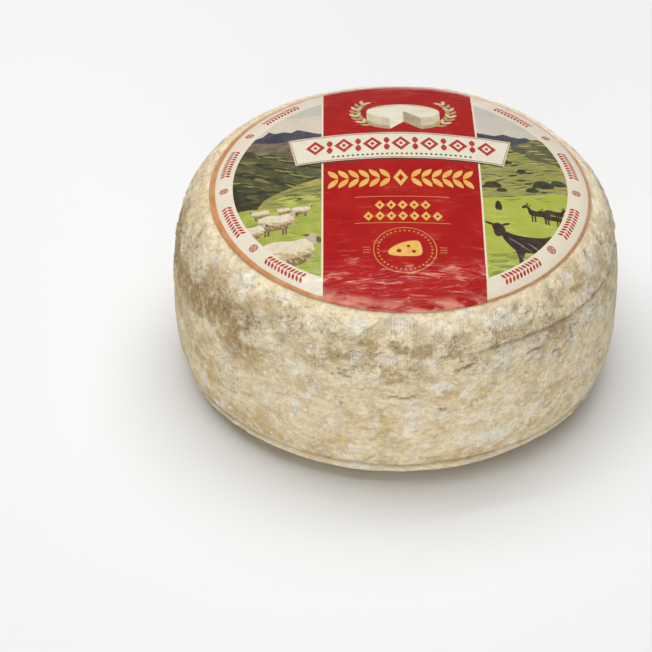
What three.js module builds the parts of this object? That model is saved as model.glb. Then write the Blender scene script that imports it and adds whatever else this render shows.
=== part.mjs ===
// Whole pressed cheese wheel with a printed paper label on its top face.
// Millimetres, +Z up. The origin is the centre of the flat base, and -Y is the front of the label.
import * as THREE from "three";

// ---- Driving dimensions ----

// Wheel
const WHEEL_RADIUS = 100; // at its widest, the equator
const WHEEL_HEIGHT = 102; // from the base to the crown of the top face
const EQUATOR_HEIGHT = 38; // the side bulges most at this height
const CROWN_DROP = 13.9; // fall of the domed top face from its centre out to the rim
const SHOULDER_FLATNESS = 13.1; // how far out the top face runs before it turns down
const SHOULDER_ROUNDNESS = 2.36; // how softly it turns down into the side
const FOOT_REACH = 30; // width of the rounded foot, between the flat base and the equator
const FOOT_FLATNESS = 4.5; // how flat the foot starts off along the base
const FOOT_ROUNDNESS = 3.1; // how softly it turns up into the side

// Label
const LABEL_MARGIN = 16.6; // bare rind left round the label
const LABEL_THICKNESS = 0.25;
const LABEL_GAP = 0.3; // clearance between the rind and the underside of the label
const LABEL_SHIFT_X = 1.2; // the label was stuck on by hand, a little off centre
const LABEL_SHIFT_Y = -4.7;

// Fineness of the facets
const SEGMENTS_ROUND = 80;
const CORNER_STEPS = 16; // rings on the foot, and as many on the shoulder
const CROWN_RINGS = 6;
const LABEL_RINGS = 10;

// ---- The wheel's outline ----

// Height of the top face at a distance from the axis: a crowned disc that turns down at the shoulder.
function topHeight(radius) {
  const share = Math.min(radius / WHEEL_RADIUS, 1);
  const crown = WHEEL_HEIGHT - EQUATOR_HEIGHT - CROWN_DROP * share ** 2;
  const turn = (1 - share ** SHOULDER_FLATNESS) ** (1 / SHOULDER_ROUNDNESS);
  return EQUATOR_HEIGHT + crown * turn;
}

// A point on the rounded foot, from the edge of the flat base (angle 0) up to the equator (90 degrees).
function footPoint(angle) {
  const out = Math.sin(angle) ** (2 / FOOT_FLATNESS);
  const down = Math.cos(angle) ** (2 / FOOT_ROUNDNESS);
  return new THREE.Vector2(
    WHEEL_RADIUS - FOOT_REACH * (1 - out),
    EQUATOR_HEIGHT * (1 - down),
  );
}

// A point on the shoulder, from the equator (angle 0) up and in towards the crown (90 degrees).
function shoulderPoint(angle) {
  const radius = WHEEL_RADIUS * Math.cos(angle) ** (2 / SHOULDER_FLATNESS);
  return new THREE.Vector2(radius, topHeight(radius));
}

// Half section of the wheel, from the middle of the base out, up and back to the axis.
function wheelOutline() {
  const quarterTurn = Math.PI / 2;
  const outline = [new THREE.Vector2(0, 0)];
  for (let i = 0; i <= CORNER_STEPS; i++) {
    outline.push(footPoint((i / CORNER_STEPS) * quarterTurn));
  }
  for (let i = 1; i < CORNER_STEPS; i++) {
    outline.push(shoulderPoint((i / CORNER_STEPS) * quarterTurn));
  }
  const crownRadius = outline[outline.length - 1].x;
  for (let i = CROWN_RINGS - 1; i >= 0; i--) {
    const radius = crownRadius * (i / CROWN_RINGS);
    outline.push(new THREE.Vector2(radius, topHeight(radius)));
  }
  return outline;
}

// Turns a half section round the Z axis.
function turned(outline) {
  const geometry = new THREE.LatheGeometry(outline, SEGMENTS_ROUND);
  geometry.rotateX(Math.PI / 2);
  return geometry;
}

// ---- Sub-parts ----

function cheeseWheel() {
  const rind = new THREE.MeshStandardMaterial({
    color: 0xd0c09c,
    roughness: 0.85,
    metalness: 0,
  });
  const mesh = new THREE.Mesh(turned(wheelOutline()), rind);
  mesh.name = "cheese_wheel";
  return mesh;
}

// Lays a flat disc onto the top face: each point keeps its height above the disc's underside,
// measured square to the domed face.
function drapeOnTop(geometry) {
  const halfStep = 0.01;
  const position = geometry.getAttribute("position");
  for (let i = 0; i < position.count; i++) {
    const x = position.getX(i) + LABEL_SHIFT_X;
    const y = position.getY(i) + LABEL_SHIFT_Y;
    const radius = Math.hypot(x, y);
    const rise = topHeight(radius + halfStep) - topHeight(Math.abs(radius - halfStep));
    const slope = rise / (2 * halfStep);
    const outward = new THREE.Vector2(x, y).normalize();
    const normal = new THREE.Vector3(-slope * outward.x, -slope * outward.y, 1).normalize();
    const above = LABEL_GAP + position.getZ(i);
    const point = new THREE.Vector3(x, y, topHeight(radius));
    point.addScaledVector(normal, above);
    position.setXYZ(i, point.x, point.y, point.z);
  }
  geometry.computeVertexNormals();
}

// Half section of the flat label, with its rings closer together towards the edge, where it bends most.
function labelOutline() {
  const labelRadius = WHEEL_RADIUS - LABEL_MARGIN;
  const ringRadius = (i) => labelRadius * Math.sin((i / LABEL_RINGS) * (Math.PI / 2));
  const outline = [];
  for (let i = 0; i <= LABEL_RINGS; i++) {
    outline.push(new THREE.Vector2(ringRadius(i), 0));
  }
  for (let i = LABEL_RINGS; i >= 0; i--) {
    outline.push(new THREE.Vector2(ringRadius(i), LABEL_THICKNESS));
  }
  return outline;
}

function paperLabel() {
  const print = new THREE.MeshStandardMaterial({
    color: 0xb8202a,
    roughness: 0.35,
    metalness: 0,
  });
  const geometry = turned(labelOutline());
  drapeOnTop(geometry);
  const mesh = new THREE.Mesh(geometry, print);
  mesh.name = "paper_label";
  return mesh;
}

const cheese = new THREE.Group();
cheese.name = "labelled_cheese_wheel";
cheese.add(cheeseWheel(), paperLabel());

export default cheese;
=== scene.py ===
"""The looks of a whole cheese wheel with a dry natural rind and a round printed label on top.

Meshes are worked out in millimetres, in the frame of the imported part, and stored in metres.
The label's own plan has its origin at the label's centre, +X to the right and +Y to the back.
"""
import math

import bpy
import numpy as np
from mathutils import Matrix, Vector, geometry, noise


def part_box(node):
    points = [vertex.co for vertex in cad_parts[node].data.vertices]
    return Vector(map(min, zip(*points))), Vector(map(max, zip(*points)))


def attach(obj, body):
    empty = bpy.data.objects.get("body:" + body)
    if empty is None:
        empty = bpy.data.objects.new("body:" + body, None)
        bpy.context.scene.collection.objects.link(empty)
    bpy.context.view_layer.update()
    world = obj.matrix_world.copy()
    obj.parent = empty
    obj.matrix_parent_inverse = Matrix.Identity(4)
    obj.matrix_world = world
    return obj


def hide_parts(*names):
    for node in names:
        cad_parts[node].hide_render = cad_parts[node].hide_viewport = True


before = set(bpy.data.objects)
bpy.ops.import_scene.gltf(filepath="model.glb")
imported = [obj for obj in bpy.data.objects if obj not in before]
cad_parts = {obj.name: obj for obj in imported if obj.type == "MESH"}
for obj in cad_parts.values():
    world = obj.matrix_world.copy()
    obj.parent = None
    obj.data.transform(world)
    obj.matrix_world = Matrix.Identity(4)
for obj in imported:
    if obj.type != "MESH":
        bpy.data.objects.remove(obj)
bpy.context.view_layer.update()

MM = 0.001
FULL_TURN = 2 * math.pi

# ---- Sizes, from the frame ----

wheel_low, wheel_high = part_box("cheese_wheel")
label_low, label_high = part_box("paper_label")
WHEEL_RADIUS = (wheel_high.x - wheel_low.x) / 2 / MM
WHEEL_HEIGHT = wheel_high.z / MM
LABEL_RADIUS = (label_high.x - label_low.x) / 2 / MM
LABEL_X = (label_high.x + label_low.x) / 2 / MM
LABEL_Y = (label_high.y + label_low.y) / 2 / MM

# The wheel's half section, as the part's own outline has it
EQUATOR_HEIGHT = 38
CROWN_DROP = 13.9
SHOULDER_FLATNESS = 13.1
SHOULDER_ROUNDNESS = 2.36
FOOT_REACH = 30
FOOT_FLATNESS = 4.5
FOOT_ROUNDNESS = 3.1

# Lines that the mould left round the side, and the middle of the belt of rough crust above the side
LEDGE_HEIGHT = 70
LIP_HEIGHT = 9.5
BELT_HEIGHT = 71

# Fineness of the rind's mesh: points round each ring, and the spacing of the rings on the side
POINTS_ROUND = 610
RING_SPACING = 0.92

# How far the label's upper and under faces stand off the wheel, and how much its edge is pressed down
PAPER_LIFT = 0.5
PAPER_UNDERSIDE = 0.06
EDGE_PRESS = 0.24

# Directions of the deepest dents in the shoulder, just outside the label, in degrees, and their radius
DENT_TURNS = (-59, -47, -28, -19.5, 38, 71, 152, 198)
DENT_RADIUS = 91

# The clearest single marks on the rind: direction in degrees, height, half length and half height in mm
WHITE_BLOOMS = ((-92, 85, 8, 5), (-122, 86, 5, 4), (-137, 82, 6, 4), (-53, 66, 7, 3), (-64, 66, 4, 4),
                (-80, 54, 4, 3), (-34, 61, 7, 4), (-62, 80, 8, 4), (-66, 22, 9, 5), (-28, 80, 6, 4),
                (55, 80, 9, 5), (140, 68, 10, 6), (172, 40, 6, 4))
BALD_SPOTS = ((-91, 74, 4.5, 2.2), (-84, 73, 3.5, 1.8), (-77, 70, 4.5, 3), (-66, 69, 2.5, 3),
              (-92, 60, 5.5, 2.6), (-106, 68, 6, 3), (-38, 76, 5, 2), (-98, 75, 4.5, 1.8),
              (100, 73, 8, 3), (175, 72, 7, 4))
SPLITS = ((-55, 62, 6, 0.7), (-47, 54, 4, 0.9), (-89, 51, 6, 0.7), (-74, 63, 5, 0.6), (-80, 44, 2, 0.7),
          (-104, 60, 4, 0.7), (85, 64, 7, 0.8), (160, 58, 6, 0.8))


# ---- Small helpers for numbers ----


def smoothstep(low, high, value):
    """0 up to low, 1 from high on, and a soft rise between them; high may be below low."""
    share = np.clip((np.asarray(value, float) - low) / (high - low), 0, 1)
    return share * share * (3 - 2 * share)


def bump_at(value, centre, width):
    """A soft bump of height 1 at a centre."""
    return np.exp(-(((np.asarray(value, float) - centre) / width) ** 2))


def noise_at(points, size, seed=0, octaves=1, squash=(1, 1, 1)):
    """Smooth noise of about -1 to 1 at each point, with features of a size in millimetres."""
    places = np.asarray(points) * (np.array(squash) / size) + np.array([17.3, 5.9, 31.7]) * seed
    if octaves == 1:
        return np.array([noise.noise(place) for place in places]) * 1.6
    return np.array([noise.fractal(place, 0.8, 2.1, octaves) for place in places]) * 1.2


def nearest_cell(points, size, seed=0):
    """Distance from each point to the nearest of a scatter of centres, as a share of their spacing."""
    places = np.asarray(points) * (1 / size) + np.array([3.1, 27.7, 11.3]) * seed
    return np.array([noise.voronoi(place)[0][0] for place in places])


# ---- The wheel's surface ----


def top_height(radius):
    """Height of the plain top face, crowned in the middle and turned down at the shoulder."""
    share = np.minimum(np.asarray(radius, float) / WHEEL_RADIUS, 1)
    crown = WHEEL_HEIGHT - EQUATOR_HEIGHT - CROWN_DROP * share**2
    return EQUATOR_HEIGHT + crown * (1 - share**SHOULDER_FLATNESS) ** (1 / SHOULDER_ROUNDNESS)


def half_section():
    """Path length, radius and height of points along the half section, from the base to the crown."""
    steps, crown_steps = 400, 60
    foot = np.linspace(0, math.pi / 2, steps)
    foot_radius = WHEEL_RADIUS - FOOT_REACH * (1 - np.sin(foot) ** (2 / FOOT_FLATNESS))
    foot_height = EQUATOR_HEIGHT * (1 - np.cos(foot) ** (2 / FOOT_ROUNDNESS))
    shoulder = foot[1:-8]
    shoulder_radius = WHEEL_RADIUS * np.cos(shoulder) ** (2 / SHOULDER_FLATNESS)
    crown_radius = np.linspace(shoulder_radius[-1], 0, crown_steps)[1:]
    radius = np.concatenate([[0], foot_radius, shoulder_radius, crown_radius])
    rise = np.concatenate([shoulder_radius, crown_radius])
    height = np.concatenate([[0], foot_height, top_height(rise)])
    path = np.concatenate([[0], np.cumsum(np.hypot(np.diff(radius), np.diff(height)))])
    return path, radius, height


PATH, PATH_RADIUS, PATH_HEIGHT = half_section()


def on_section(path):
    """Radius, height and the outward direction of the half section at some path lengths."""

    def at(place):
        return np.interp(place, PATH, PATH_RADIUS), np.interp(place, PATH, PATH_HEIGHT)

    reach = 0.6
    (radius, height), before, after = at(path), at(path - reach), at(path + reach)
    along_radius, along_height = after[0] - before[0], after[1] - before[1]
    length = np.hypot(along_radius, along_height)
    return radius, height, along_height / length, -along_radius / length


def top_surface(x, y):
    """Points of the top face over a plan, and the directions square to it."""
    radius = np.hypot(x, y)
    step = 0.05
    slope = (top_height(radius + step) - top_height(np.maximum(radius - step, 0))) / (2 * step)
    outward = np.stack([x, y], 1) / np.maximum(radius, 1e-6)[:, None]
    normal = np.column_stack([-slope[:, None] * outward, np.ones(len(radius))])
    normal /= np.linalg.norm(normal, axis=1)[:, None]
    return np.column_stack([x, y, top_height(radius)]), normal


def hand_made(points):
    """The slow unevenness of a wheel pressed in a cloth, which the label follows too."""
    return 0.55 * noise_at(points, 62, seed=1) + 0.22 * noise_at(points, 24, seed=2)


# ---- Small helpers for meshes ----


def new_piece(name, points, faces, materials, smooth=True):
    """A mesh object from points in millimetres."""
    mesh = bpy.data.meshes.new(name)
    mesh.from_pydata((np.asarray(points) * MM).tolist(), [], faces)
    for material in materials:
        mesh.materials.append(material)
    mesh.polygons.foreach_set("use_smooth", [smooth] * len(mesh.polygons))
    piece = bpy.data.objects.new(name, mesh)
    bpy.context.scene.collection.objects.link(piece)
    return piece


def paint(piece, name, values):
    """Stores one number for each point, which the piece's material reads by name."""
    layer = piece.data.attributes.new(name, "FLOAT", "POINT")
    layer.data.foreach_set("value", np.asarray(values, np.float32))


# ---- Small helpers for materials ----


def add(tree, kind, settings=None, **inputs):
    """Adds a node; an input is a value or another node's output."""
    made = tree.nodes.new(kind)
    for name, value in (settings or {}).items():
        setattr(made, name, value)
    for name, value in inputs.items():
        connect(tree, made.inputs[name.replace("_", " ")], value)
    return made


def connect(tree, socket, value):
    """Links another node's output to a socket, or sets the socket to a plain value."""
    if isinstance(value, bpy.types.NodeSocket):
        tree.links.new(value, socket)
    elif socket.type == "RGBA" and len(value) == 3:
        socket.default_value = (*value, 1)
    else:
        socket.default_value = value


def blend(tree, share, first, second, mode="MIX"):
    """A colour between two others."""
    made = add(tree, "ShaderNodeMix", {"data_type": "RGBA", "blend_type": mode})
    connect(tree, made.inputs[0], share)
    connect(tree, made.inputs[6], first)
    connect(tree, made.inputs[7], second)
    return made.outputs[2]


def maths(tree, operation, first, second=0.0):
    """The result of one sum on values that vary over the surface."""
    made = add(tree, "ShaderNodeMath", {"operation": operation})
    connect(tree, made.inputs[0], first)
    connect(tree, made.inputs[1], second)
    return made.outputs[0]


def times(tree, first, second):
    """The product of two values."""
    return maths(tree, "MULTIPLY", first, second)


def plus(tree, first, second):
    """The sum of two values."""
    return maths(tree, "ADD", first, second)


def ease(tree, value, low, high, to_low=0.0, to_high=1.0):
    """A soft step of a value from to_low to to_high as it goes from low to high."""
    made = add(tree, "ShaderNodeMapRange", {"interpolation_type": "SMOOTHSTEP"})
    for socket, given in zip(made.inputs, (value, low, high, to_low, to_high)):
        connect(tree, socket, given)
    return made.outputs[0]


def painted(tree, name):
    """The numbers that paint() stored on the piece."""
    return add(tree, "ShaderNodeAttribute", {"attribute_name": name}).outputs["Fac"]


def new_group(name, inputs, outputs):
    """An empty node group, with the names of the numbers that go in and come out."""
    tree = bpy.data.node_groups.new(name, "ShaderNodeTree")
    for side, labels in (("INPUT", inputs), ("OUTPUT", outputs)):
        for label in labels:
            tree.interface.new_socket(label, in_out=side, socket_type="NodeSocketFloat")
    start = tree.nodes.new("NodeGroupInput")
    end = tree.nodes.new("NodeGroupOutput")
    return tree, start.outputs, end.inputs


def use(tree, group, **inputs):
    """Places a node group in a material."""
    made = tree.nodes.new("ShaderNodeGroup")
    made.node_tree = group
    for name, value in inputs.items():
        connect(tree, made.inputs[name.replace("_", " ")], value)
    return made.outputs


def new_material(name, **constants):
    """A material with one Principled shader; constants go straight on the shader's sockets."""
    material = bpy.data.materials.new(name)
    material.use_nodes = True
    tree = material.node_tree
    shader = tree.nodes["Principled BSDF"]
    for label, value in constants.items():
        connect(tree, shader.inputs[label.replace("_", " ")], value)
    return material, tree, shader


# ---- Effects that several materials share ----


def spots_group():
    """Cloudy patches: a mask of noise over a level, with an edge from soft to sharp.

    Size is in millimetres, Squash shrinks the patches upwards, and Cover is the share covered.
    """
    inputs = ("Size", "Squash", "Seed", "Detail", "Cover", "Edge")
    tree, given, result = new_group("cloudy patches", inputs, ("Mask", "Noise"))
    place = add(tree, "ShaderNodeTexCoord").outputs["Object"]
    stretch = add(tree, "ShaderNodeCombineXYZ", X=1.0, Y=1.0, Z=given["Squash"]).outputs[0]
    squashed = add(tree, "ShaderNodeVectorMath", {"operation": "MULTIPLY"})
    tree.links.new(place, squashed.inputs[0])
    tree.links.new(stretch, squashed.inputs[1])
    per_metre = maths(tree, "DIVIDE", 1 / MM, given["Size"])
    cloud = add(
        tree,
        "ShaderNodeTexNoise",
        {"noise_dimensions": "4D"},
        Vector=squashed.outputs[0],
        W=given["Seed"],
        Scale=per_metre,
        Detail=given["Detail"],
        Roughness=0.6,
    ).outputs["Fac"]
    level = maths(tree, "SUBTRACT", 1.0, given["Cover"])
    level = ease(tree, level, 0.0, 1.0, 0.2, 0.8)
    low = maths(tree, "SUBTRACT", level, given["Edge"])
    high = plus(tree, level, given["Edge"])
    tree.links.new(ease(tree, cloud, low, high), result["Mask"])
    tree.links.new(cloud, result["Noise"])
    return tree


def cracks_group():
    """Fine cracks that run along the folds of a cloudy noise; Size is in millimetres."""
    tree, given, result = new_group("fine cracks", ("Size", "Squash", "Seed", "Width"), ("Mask",))
    passed_on = {name: given[name] for name in ("Size", "Squash", "Seed")}
    cloud = use(tree, SPOTS, **passed_on, Detail=3.0, Cover=0.5, Edge=0.1)["Noise"]
    fold = maths(tree, "ABSOLUTE", maths(tree, "SUBTRACT", cloud, 0.5))
    tree.links.new(ease(tree, fold, 0.0, given["Width"], 1.0, 0.0), result["Mask"])
    return tree


def weave_group():
    """The threads of a coarse cloth pressed in round a wheel: 1 on the threads and 0 between them."""
    tree, given, result = new_group("cloth imprint", ("Threads round", "Thread"), ("Height",))
    place = add(tree, "ShaderNodeTexCoord").outputs["Object"]
    wander = add(tree, "ShaderNodeTexNoise", Vector=place, Scale=60.0, Detail=2.0).outputs["Fac"]
    split = add(tree, "ShaderNodeSeparateXYZ", Vector=place).outputs
    turn = maths(tree, "ARCTAN2", split["Y"], split["X"])
    upright = times(tree, turn, given["Threads round"])
    upright = maths(tree, "SINE", plus(tree, upright, times(tree, wander, 7.0)))
    level = times(tree, maths(tree, "DIVIDE", split["Z"], given["Thread"]), FULL_TURN)
    level = maths(tree, "SINE", plus(tree, level, times(tree, wander, 9.0)))
    both = plus(tree, times(tree, upright, 0.75), times(tree, level, 0.25))
    tree.links.new(ease(tree, both, -0.8, 0.6), result["Height"])
    return tree


def film_group():
    """The clear film over the print: sideways creases, a light pebble, uneven gloss, and pale glints
    painted along the crease ridges.
    """
    tree, given, result = new_group("creased film", ("Crease",), ("Height", "Roughness", "Painted glint"))
    place = add(tree, "ShaderNodeTexCoord").outputs["Object"]

    def cloud(detail, per_metre, across=None):
        """Noise with some features per metre, and fewer of them across, so that they stretch sideways."""
        if across is None:
            return add(tree, "ShaderNodeTexNoise", Vector=place, Scale=per_metre,
                    Detail=detail).outputs["Fac"]
        scale = (across, per_metre, per_metre)
        stretched = add(tree, "ShaderNodeMapping", Vector=place, Scale=scale).outputs[0]
        return add(tree, "ShaderNodeTexNoise", Vector=stretched, Scale=1.0, Detail=detail).outputs["Fac"]

    ridge = maths(tree, "ABSOLUTE", maths(tree, "SUBTRACT", cloud(3.0, 520.0, 60.0), 0.5))
    thin_ridge = ease(tree, ridge, 0.0, 0.062, 1.0, 0.0)
    ridge = ease(tree, ridge, 0.0, 0.08, 1.0, 0.0)
    pebble = cloud(2.0, 300.0)
    height = plus(tree, times(tree, ridge, given["Crease"]), times(tree, pebble, 0.2))
    tree.links.new(height, result["Height"])
    tree.links.new(ease(tree, pebble, 0.3, 0.7, 0.06, 0.11), result["Roughness"])
    patch = cloud(2.0, 230.0, 75.0)
    # Pale glints painted along the thin crease ridges, in patches
    painted_glint = times(tree, thin_ridge, ease(tree, patch, 0.54, 0.64))
    tree.links.new(times(tree, painted_glint, given["Crease"]), result["Painted glint"])
    return tree


SPOTS = spots_group()
CRACKS = cracks_group()
WEAVE = weave_group()
FILM = film_group()


# ---- The rind ----


def rind_material():
    """Dry straw-coloured rind with chalky bloom, tan hollows and the print of the mould's cloth, with
    painted shade in its pits, cracks and dents and on the side turned from the light.
    """
    material, tree, shader = new_material("natural rind", Specular_IOR_Level=0.2)
    names = ("crust", "hollow_shade", "ochre", "imprint", "bare", "rough", "brown", "bloom", "bald")
    crust, hollow_shade, ochre, imprint, bare, rough, brown, bloom, bald = (painted(tree, name) for name in names)

    def spots(strength, size, cover, edge, seed, detail=3.0, squash=1.0):
        """A mask of cloudy patches, made fainter to a strength."""
        shape = {"Size": size, "Cover": cover, "Edge": edge, "Seed": seed, "Detail": detail,
                "Squash": squash}
        return times(tree, use(tree, SPOTS, **shape)["Mask"], strength)

    beige = (0.66, 0.535, 0.33)
    straw = (0.84, 0.715, 0.49)
    honey = (0.62, 0.43, 0.18)
    tan = (0.46, 0.33, 0.17)
    cream = (0.88, 0.79, 0.58)
    chalk = (0.84, 0.79, 0.72)
    ash = (0.60, 0.56, 0.52)
    frost = (0.88, 0.84, 0.76)
    moss = (0.66, 0.61, 0.22)
    toffee = (0.42, 0.30, 0.13)
    bark = (0.38, 0.25, 0.10)
    umber = (0.20, 0.14, 0.08)

    plates = times(tree, spots(1.0, 6.5, 0.62, 0.025, 9.0, 6.0, 1.5), rough)
    streaks = plus(tree, spots(0.55, 3.2, 0.55, 0.10, 12.0, 4.0, 0.5), 0.35)
    weave = use(tree, WEAVE, Threads_round=430.0, Thread=0.0015)["Height"]
    grooves = times(tree, maths(tree, "SUBTRACT", 1.0, weave), imprint)
    cracks = use(tree, CRACKS, Size=9.0, Squash=2.6, Seed=10.0, Width=0.014)["Mask"]
    cracks = times(tree, cracks, spots(1.0, 10.0, 0.50, 0.06, 11.0, 3.0, 1.6))
    cracks = times(tree, cracks, rough)
    dark_flecks = times(tree, spots(1.0, 2.2, 0.32, 0.05, 6.0, 3.0, 2.2), rough)
    pale_flecks = spots(1.0, 2.4, 0.38, 0.06, 7.0, 3.0, 2.0)

    colour = blend(tree, spots(1.0, 6.0, 0.5, 0.18, 1.0, 5.0, 1.5), beige, straw)
    layers = (
        (ochre, honey),
        (spots(0.45, 4.0, 0.42, 0.07, 2.0, 5.0, 1.9), tan),
        # The crust mask's cream is fainter on the left and back: painted shade on the side turned from the
        # light
        (times(tree, crust, 0.62), cream),
        (times(tree, bare, 0.55), tan),
        (times(tree, plates, 0.35), cream),
        (spots(0.85, 8.0, 0.40, 0.05, 3.0, 7.0, 1.2), chalk),
        (spots(0.60, 5.0, 0.38, 0.05, 4.0, 6.0, 1.4), ash),
        (times(tree, bald, 0.68), toffee),
        (times(tree, bloom, 0.75), frost),
        (spots(0.50, 2.6, 0.30, 0.05, 5.0, 2.0), moss),
        (times(tree, brown, streaks), bark),
        (times(tree, grooves, 0.35), tan),
        (times(tree, dark_flecks, 0.45), umber),
        (times(tree, pale_flecks, 0.50), cream),
        # Umber along the fine cracks is painted shade in them
        (times(tree, cracks, 0.65), umber),
        # Umber where the hollow mask lies is painted shade in the rind's recesses
        (times(tree, hollow_shade, 0.68), umber),
    )
    for share, tint in layers:
        colour = blend(tree, share, colour, tint)

    grain = spots(1.0, 1.2, 0.5, 0.2, 8.0, 4.0)
    mottle = spots(1.0, 3.6, 0.5, 0.12, 13.0, 3.0, 1.5)
    for mask, dim, bright in (
        (grain, (0.86, 0.84, 0.80), (1.06, 1.06, 1.04)),
        (mottle, (0.92, 0.91, 0.90), (1.07, 1.07, 1.07)),
    ):
        colour = blend(tree, 1.0, colour, blend(tree, mask, dim, bright), "MULTIPLY")
    connect(tree, shader.inputs["Base Color"], colour)
    connect(tree, shader.inputs["Roughness"], ease(tree, grain, 0.0, 1.0, 0.72, 0.88))

    height = times(tree, grain, 0.3)
    for mask, rise in ((pale_flecks, 0.4), (plates, 1.2), (dark_flecks, -0.6), (cracks, -1.2),
            (grooves, -0.4)):
        height = plus(tree, height, times(tree, mask, rise))
    bump = add(tree, "ShaderNodeBump", Strength=0.65, Distance=0.0005, Height=height)
    connect(tree, shader.inputs["Normal"], bump.outputs[0])
    return material


def rind_rings():
    """Path lengths of the rings of points, closest on the side, where the rind shows."""
    coarse_rings = 11
    side_start = 70
    base = np.linspace(6, side_start - 4, coarse_rings)
    upper_half = PATH > 140
    top_edge = np.interp(-(LABEL_RADIUS - 11), -PATH_RADIUS[upper_half], PATH[upper_half])
    side = np.arange(side_start, top_edge, RING_SPACING)
    under_label = np.linspace(top_edge + 4, PATH[-1] - 6, coarse_rings)
    return np.concatenate([base, side, under_label])


def turn_from(turn, degrees):
    """How far round the wheel a point lies from a direction, in radians."""
    return np.angle(np.exp(1j * (turn - math.radians(degrees))))


def marked(spots, points, height, turn, ragged):
    """A mask of single ragged spots at given places on the side."""
    mask = np.zeros(len(turn))
    wander = ragged * noise_at(points, 3.0, seed=19, octaves=3)
    wavy_height = height + 1.3 * noise_at(points, 7, seed=24)
    for degrees, level, half_length, half_height in spots:
        along = turn_from(turn, degrees) * WHEEL_RADIUS / half_length
        distance = np.hypot(along, (wavy_height - level) / half_height) + wander
        mask = np.maximum(mask, smoothstep(1.10, 0.85, distance))
    return mask


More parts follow.
